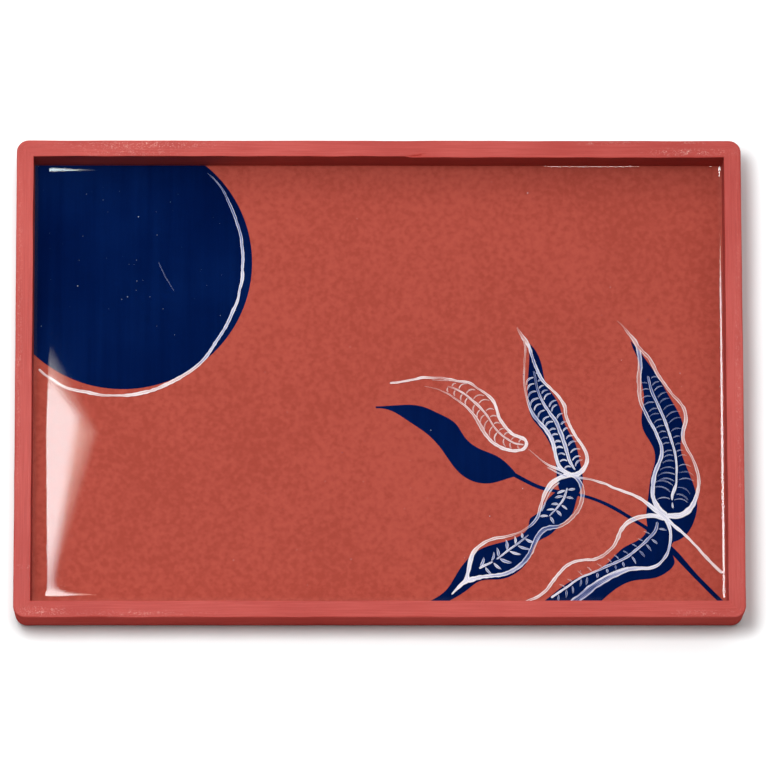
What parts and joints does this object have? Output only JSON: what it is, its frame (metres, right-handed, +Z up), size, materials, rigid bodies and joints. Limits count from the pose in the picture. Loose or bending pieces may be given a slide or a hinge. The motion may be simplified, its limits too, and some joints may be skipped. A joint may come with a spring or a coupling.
{
  "type": "painted wooden serving tray",
  "caption": "Rectangular wooden serving tray with a painted moon and leafy branch on its base under a clear glossy resin coat.",
  "frame": {"origin": "centre of the footprint, on the surface that the tray stands on", "axes": "+X along the long side, +Y towards the back long side, +Z up out of the tray's open well"},
  "size_m": [0.3, 0.2, 0.022],
  "materials": {
    "terracotta_paint": "brushed matt terracotta paint on wood",
    "panel_paint": "smooth terracotta paint on plywood",
    "navy_paint": "dense navy artist's acrylic",
    "white_paint": "brushed white artist's acrylic, thin at the ends of the strokes",
    "clear_resin": "clear glossy cast epoxy",
    "pin_steel": "bright wire",
    "wood_putty": "sanded putty, painted over"
  },
  "bodies": {
    "root": {"front_rail": "terracotta_paint", "back_rail": "terracotta_paint", "left_rail": "terracotta_paint", "right_rail": "terracotta_paint", "base_panel": "panel_paint", "resin_coat": "clear_resin", "moon_paint": "navy_paint", "left_leaf_paint": "navy_paint", "upper_leaf_paint": "navy_paint", "right_leaf_paint": "navy_paint", "front_leaf_paint": "navy_paint", "front_right_leaf_paint": "navy_paint", "branch_paint": "navy_paint", "moon_rim_line": "white_paint", "corner_pins": "pin_steel", "pin_hole_filler": "wood_putty", "panel_pins": "pin_steel"}
  },
  "joints": []
}
